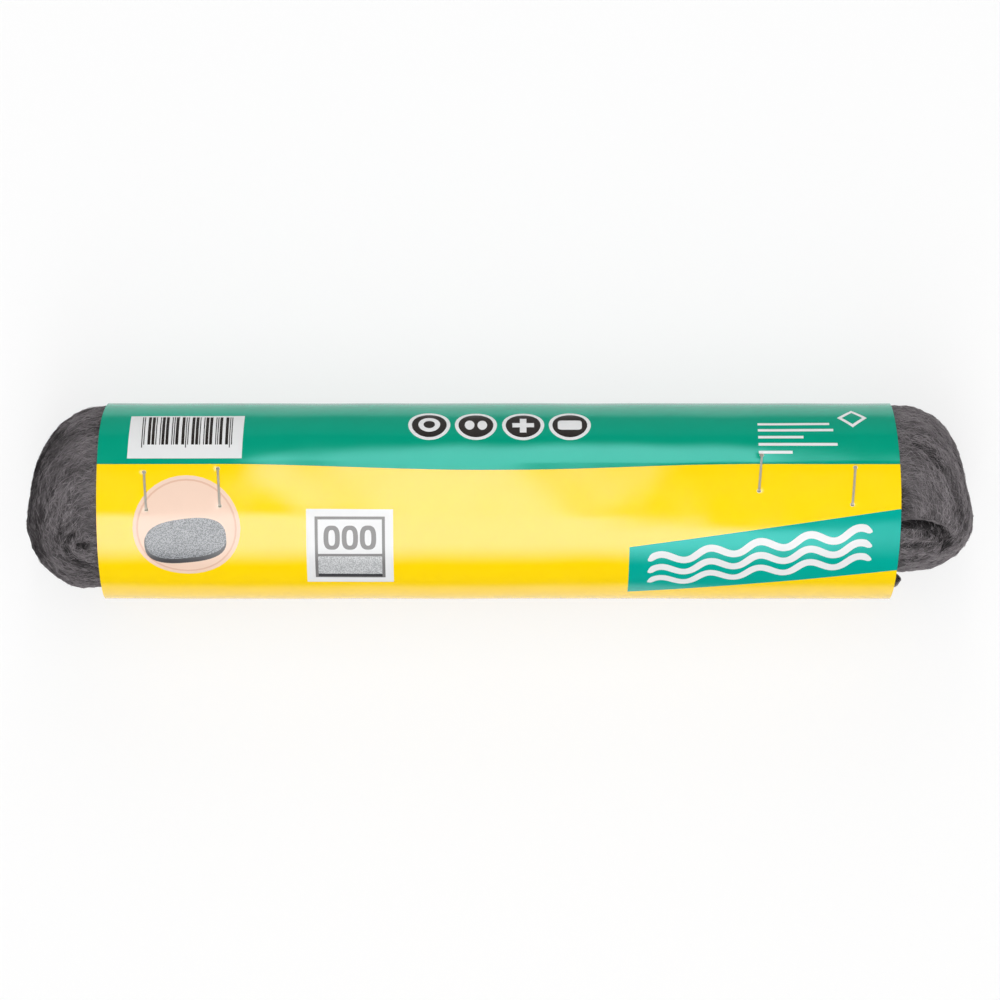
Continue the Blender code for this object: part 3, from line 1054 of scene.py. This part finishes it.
def make_inks():
    pad_greys = ((0.09, 0.1, 0.11), (0.3, 0.31, 0.33))
    speckle_greys = ((0.36, 0.37, 0.38), (0.62, 0.63, 0.64))
    return {
        "yellow": ink("yellow_print", (1.0, 0.68, 0.0), tint=(1.0, 0.5, 1.0)),
        "green": ink("green_print", (0.0, 0.325, 0.2), tint=(0.35, 0.95, 1.0)),
        "bare": ink("bare_paper", (0.84, 0.83, 0.8), roughness=0.55),
        "torn": ink("torn_coating", (0.8, 0.74, 0.6), roughness=0.6),
        "white": ink("white_print", (0.755, 0.76, 0.765), gloss=0.32),
        "black": ink("black_print", (0.022, 0.018, 0.016), variation=0.1),
        "grey": ink("grey_print", (0.185, 0.18, 0.18), gloss=0.5),
        "charcoal": ink("charcoal_print", (0.05, 0.05, 0.055), variation=0.15),
        "teal": ink("teal_print", (0.0, 0.38, 0.3), tint=(0.35, 0.95, 1.0)),
        "peach": ink("peach_print", (0.83, 0.61, 0.49), gloss=0.4),
        "peach_dark": ink("peach_shade_print", (0.72, 0.46, 0.34), gloss=0.4),
        "wool_print": ink("wool_picture_print", (0.2, 0.2, 0.2), speckle=pad_greys),
        "speckle": ink("speckle_print", (0.5, 0.5, 0.5), speckle=speckle_greys),
    }


def make_wool_materials():
    core, tree, shader = new_material("steel_wool_depth", metallic=0.3, roughness=0.6)
    place = node(tree, "ShaderNodeAttribute", attribute_name="turns").outputs["Vector"]
    strands = noise_node(tree, scale=1.0, detail=3.0, stretch=(1500.0, 210.0, 400.0), place=place)
    patches = noise_node(tree, scale=1.0, stretch=(260.0, 70.0, 110.0), place=place)
    mixed = scaled(strands, 0.6, times(patches, 0.4))
    # painted shade: darker in the grooves
    groove_shade_factor = node(tree, "ShaderNodeAttribute", attribute_name="groove_shade_factor").outputs["Fac"]
    mixed = times(mixed, groove_shade_factor)
    colour = ramp(mixed, (0.018, 0.0165, 0.017), (0.165, 0.15, 0.157), 0.3, 0.66)
    link(colour, shader.inputs["Base Color"])
    bump(shader, strands, strength=0.9, distance=0.0004)

    fibre, tree, shader = new_material("steel_fibre", metallic=0.5)
    # the tone holds random variation and also painted shade and painted light
    tone = node(tree, "ShaderNodeAttribute", attribute_name="tone").outputs["Fac"]
    colour = ramp(tone, (0.06, 0.0545, 0.057), (0.53, 0.486, 0.507), 0.0, 1.0)
    link(colour, shader.inputs["Base Color"])
    link(between(noise_node(tree, scale=500.0), 0.42, 0.58), shader.inputs["Roughness"])
    return core, fibre


def make_wire_material():
    wire, tree, shader = new_material("staple_steel_painted_reflection", metallic=1.0)
    scratches = noise_node(tree, scale=2500.0, stretch=(1.0, 0.2, 1.0))
    # Steel, with a warm tint that is a painted reflection of the yellow paper round it; the noise stands
    # for scratches
    colour = ramp(scratches, (0.66, 0.62, 0.54), (0.84, 0.8, 0.72))
    link(colour, shader.inputs["Base Color"])
    link(between(scratches, 0.45, 0.6), shader.inputs["Roughness"])
    return wire


# Stage

CAMERA_HEIGHT = 1.55
CAMERA_Y = 0.00034
CAMERA_LENS = 165.6
LIGHT_REACH = 1.9
PANEL_HALF_X = 0.165
KEY_RADIANCE = 4.1
# Fill lights: name, place, size and radiance
FILLS = [
    ("fill_over", (0.0, -0.05, 2.4), 3.2, 1.53),
    ("fill_front", (0.0, -2.0, 1.45), 1.6, 0.9),
    ("fill_back", (0.0, 2.3, 0.95), 1.6, 1.6),
]
FLOOR_HALF = 3.0
FLOOR_LIFT = 0.75
TABLE_GLOW = 0.9
GLOW_BEHIND = 0.24
GLOW_BESIDE = 0.5
LEAST_GLOW = 0.05
# How steeply the top panel's upper edge falls, in degrees by powers of the distance in millimetres
LEFT_ARCH = 0.00125
RIGHT_ARCH = 7.84e-8


def hang(name, light, place):
    """Puts a light at a place, out of the camera's sight."""
    panel = linked_object(name, light)
    panel.location = place
    panel.rotation_mode = "QUATERNION"
    panel.visible_camera = False
    return panel


def softbox(name, low, high, soften):
    """
    A soft-edged light panel that a glossy roll shows between two angles of its surface, in degrees.
    soften makes the node for its strength from the place x along the roll and the surface angle.
    """
    start, stop = radians(2 * low), radians(2 * high)
    middle = (start + stop) / 2
    spread = 1 + LIGHT_REACH / CAMERA_HEIGHT
    light = bpy.data.lights.new(name, "AREA")
    light.shape = "RECTANGLE"
    light.size = 2 * PANEL_HALF_X * spread
    light.size_y = 2 * LIGHT_REACH * tan((stop - start) / 2)
    light.energy = KEY_RADIANCE * pi * light.size * light.size_y
    light.use_nodes = True
    tree = light.node_tree
    place = node(tree, "ShaderNodeSeparateXYZ")
    link(node(tree, "ShaderNodeNewGeometry").outputs["Parametric"], place.inputs["Vector"])
    x = scaled(place.outputs["X"], 2 * PANEL_HALF_X, -PANEL_HALF_X)
    height = scaled(place.outputs["Y"], 1.0, -0.5)
    slope = calculate("ARCTANGENT", times(height, light.size_y / LIGHT_REACH))
    angle = scaled(slope, degrees(0.5), (low + high) / 2)
    link(soften(x, angle), tree.nodes["Emission"].inputs["Strength"])
    away = Vector((0.0, sin(middle), cos(middle)))
    panel = hang(name, light, away * LIGHT_REACH + Vector((0.0, 0.0, AXIS_HEIGHT)))
    facing_roll = Matrix(((1, 0, 0), (0, away.z, away.y), (0, -away.y, away.z)))
    panel.rotation_quaternion = facing_roll.to_quaternion()


def fill_light(name, place, size, radiance):
    light = bpy.data.lights.new(name, "AREA")
    light.shape = "SQUARE"
    light.size = size
    light.energy = radiance * pi * size * size
    panel = hang(name, light, place)
    panel.rotation_quaternion = Vector(place).to_track_quat("Z", "Y")
    panel.visible_glossy = False


def make_floor():
    """A pale floor that the camera sees a little lighter than it is lit."""
    mesh = bpy.data.meshes.new("floor")
    corners = [(x * FLOOR_HALF, y * FLOOR_HALF, 0) for x, y in ((-1, -1), (1, -1), (1, 1), (-1, 1))]
    mesh.from_pydata(corners, [], [(0, 1, 2, 3)])
    floor = linked_object("floor", mesh)
    material, tree, shader = new_material("pale_floor", roughness=0.7, specular_ior_level=0.2)
    colour = ramp(noise_node(tree, scale=3.0), (0.915, 0.915, 0.915), (0.925, 0.925, 0.925))
    link(colour, shader.inputs["Base Color"])
    lift = node(tree, "ShaderNodeEmission")
    lift.inputs["Color"].default_value = (0.97, 0.97, 0.97, 1.0)
    seen = node(tree, "ShaderNodeLightPath").outputs["Is Camera Ray"]
    mix = node(tree, "ShaderNodeMixShader")
    link(times(seen, FLOOR_LIFT), mix.inputs["Fac"])
    link(shader.outputs["BSDF"], mix.inputs[1])
    link(lift.outputs["Emission"], mix.inputs[2])
    link(mix.outputs["Shader"], tree.nodes["Material Output"].inputs["Surface"])
    mesh.materials.append(material)
    floor.visible_glossy = False


def make_world():
    """White to the camera, and for the object a faint glow and pale surroundings to reflect."""
    world = bpy.data.worlds.new("studio")
    bpy.context.scene.world = world
    world.use_nodes = True
    tree = world.node_tree
    place = node(tree, "ShaderNodeSeparateXYZ")
    link(node(tree, "ShaderNodeTexCoord").outputs["Generated"], place.inputs["Vector"])
    x, y, z = (place.outputs[label] for label in "XYZ")
    table_glow = times(fade(z, -0.33, -0.6), TABLE_GLOW)
    behind = times(fade(y, 0.2, 0.7), GLOW_BEHIND)
    beside = times(fade(x, 0.55, 0.85), GLOW_BESIDE)
    wall = times(larger(behind, beside), fade(z, 0.25, 0.05))
    path = node(tree, "ShaderNodeLightPath").outputs
    mirrored = larger(path["Is Glossy Ray"], path["Is Transmission Ray"])
    backdrop = larger(times(wall, mirrored), path["Is Camera Ray"])
    glow = larger(backdrop, larger(table_glow, LEAST_GLOW))
    link(glow, tree.nodes["Background"].inputs["Strength"])
    tree.nodes["Background"].inputs["Color"].default_value = (1.0, 1.0, 1.0, 1.0)


def middle_panel(x, angle):
    return times(fade(x, -0.082, -0.05), fade(x, 0.055, 0.005))


def low_panel(x, angle):
    """Its upper edge is higher in the middle of the roll, and it is dimmer at the right end."""
    lowered = scaled(fade(x, 0.08, 0.12), -4.0, angle)
    foot = fade(lowered, -41.0, -24.0)
    release = scaled(fade(x, 0.13, 0.095), 0.6, 0.4)
    sag = times(fade(x, 0.046, 0.075), release)
    top = fade(scaled(sag, 9.0, angle), -5.0, -11.0)
    lit = times(foot, larger(top, middle_panel(x, angle)))
    dimmed = scaled(fade(x, 0.1, 0.13), -0.55, 1.0)
    return times(lit, dimmed)


def top_panel(x, angle):
    """Its upper edge is an arch over the length of the roll, with its top 10 mm right of the middle."""
    off = scaled(x, 1000.0, -10.0)
    square = times(off, off)
    left = times(times(square, LEFT_ARCH), fade(x, 0.02, -0.02))
    right = times(times(square, square), fade(x, -0.02, 0.02))
    sag = scaled(right, RIGHT_ARCH, left)
    return fade(calculate("ADD", angle, sag), 37.0, 30.0)


def make_lights():
    softbox("key_low", -40.0, -2.0, low_panel)
    softbox("key_middle", -2.0, 23.0, middle_panel)
    softbox("key_top", 23.0, 37.0, top_panel)
    for fill in FILLS:
        fill_light(*fill)


def make_camera():
    camera = bpy.data.cameras.new("camera")
    camera.sensor_width = 36.0
    camera.lens = CAMERA_LENS
    thing = linked_object("camera", camera)
    thing.location = (0.0, CAMERA_Y, AXIS_HEIGHT + CAMERA_HEIGHT)
    bpy.context.scene.camera = thing


def main():
    sleeve = make_sleeve(make_inks())
    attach(sleeve, "root")
    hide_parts("paper_sleeve")

    core_material, fibre_material = make_wool_materials()
    core = make_core(core_material)
    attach(core, "root")
    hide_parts("steel_wool_hank")
    for side, word in ((-1, "left"), (1, "right")):
        for layer, lift in enumerate(FIBRE_LIFTS, 1):
            name = f"wool_fibres_{word}_{layer}"
            add_fibres(name, core, side, FIBRES_PER_PIECE, lift, 0.0, FIBRE_WIDTHS, fibre_material)

    tuft = make_tuft(core_material)
    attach(tuft, "root")
    name = "wool_fibres_tuft"
    lift = FIBRE_LIFTS[0]
    add_fibres(name, tuft, 1, FIBRES_ON_TUFT, lift, TUFT_STRAY, TUFT_WIDTHS, fibre_material)

    wire = make_wire_material()
    for name in STAPLES:
        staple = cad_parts[name]
        staple.data.materials.clear()
        staple.data.materials.append(wire)

    make_floor()
    make_world()
    make_lights()
    make_camera()
    bpy.context.scene.view_settings.view_transform = "Standard"


main()
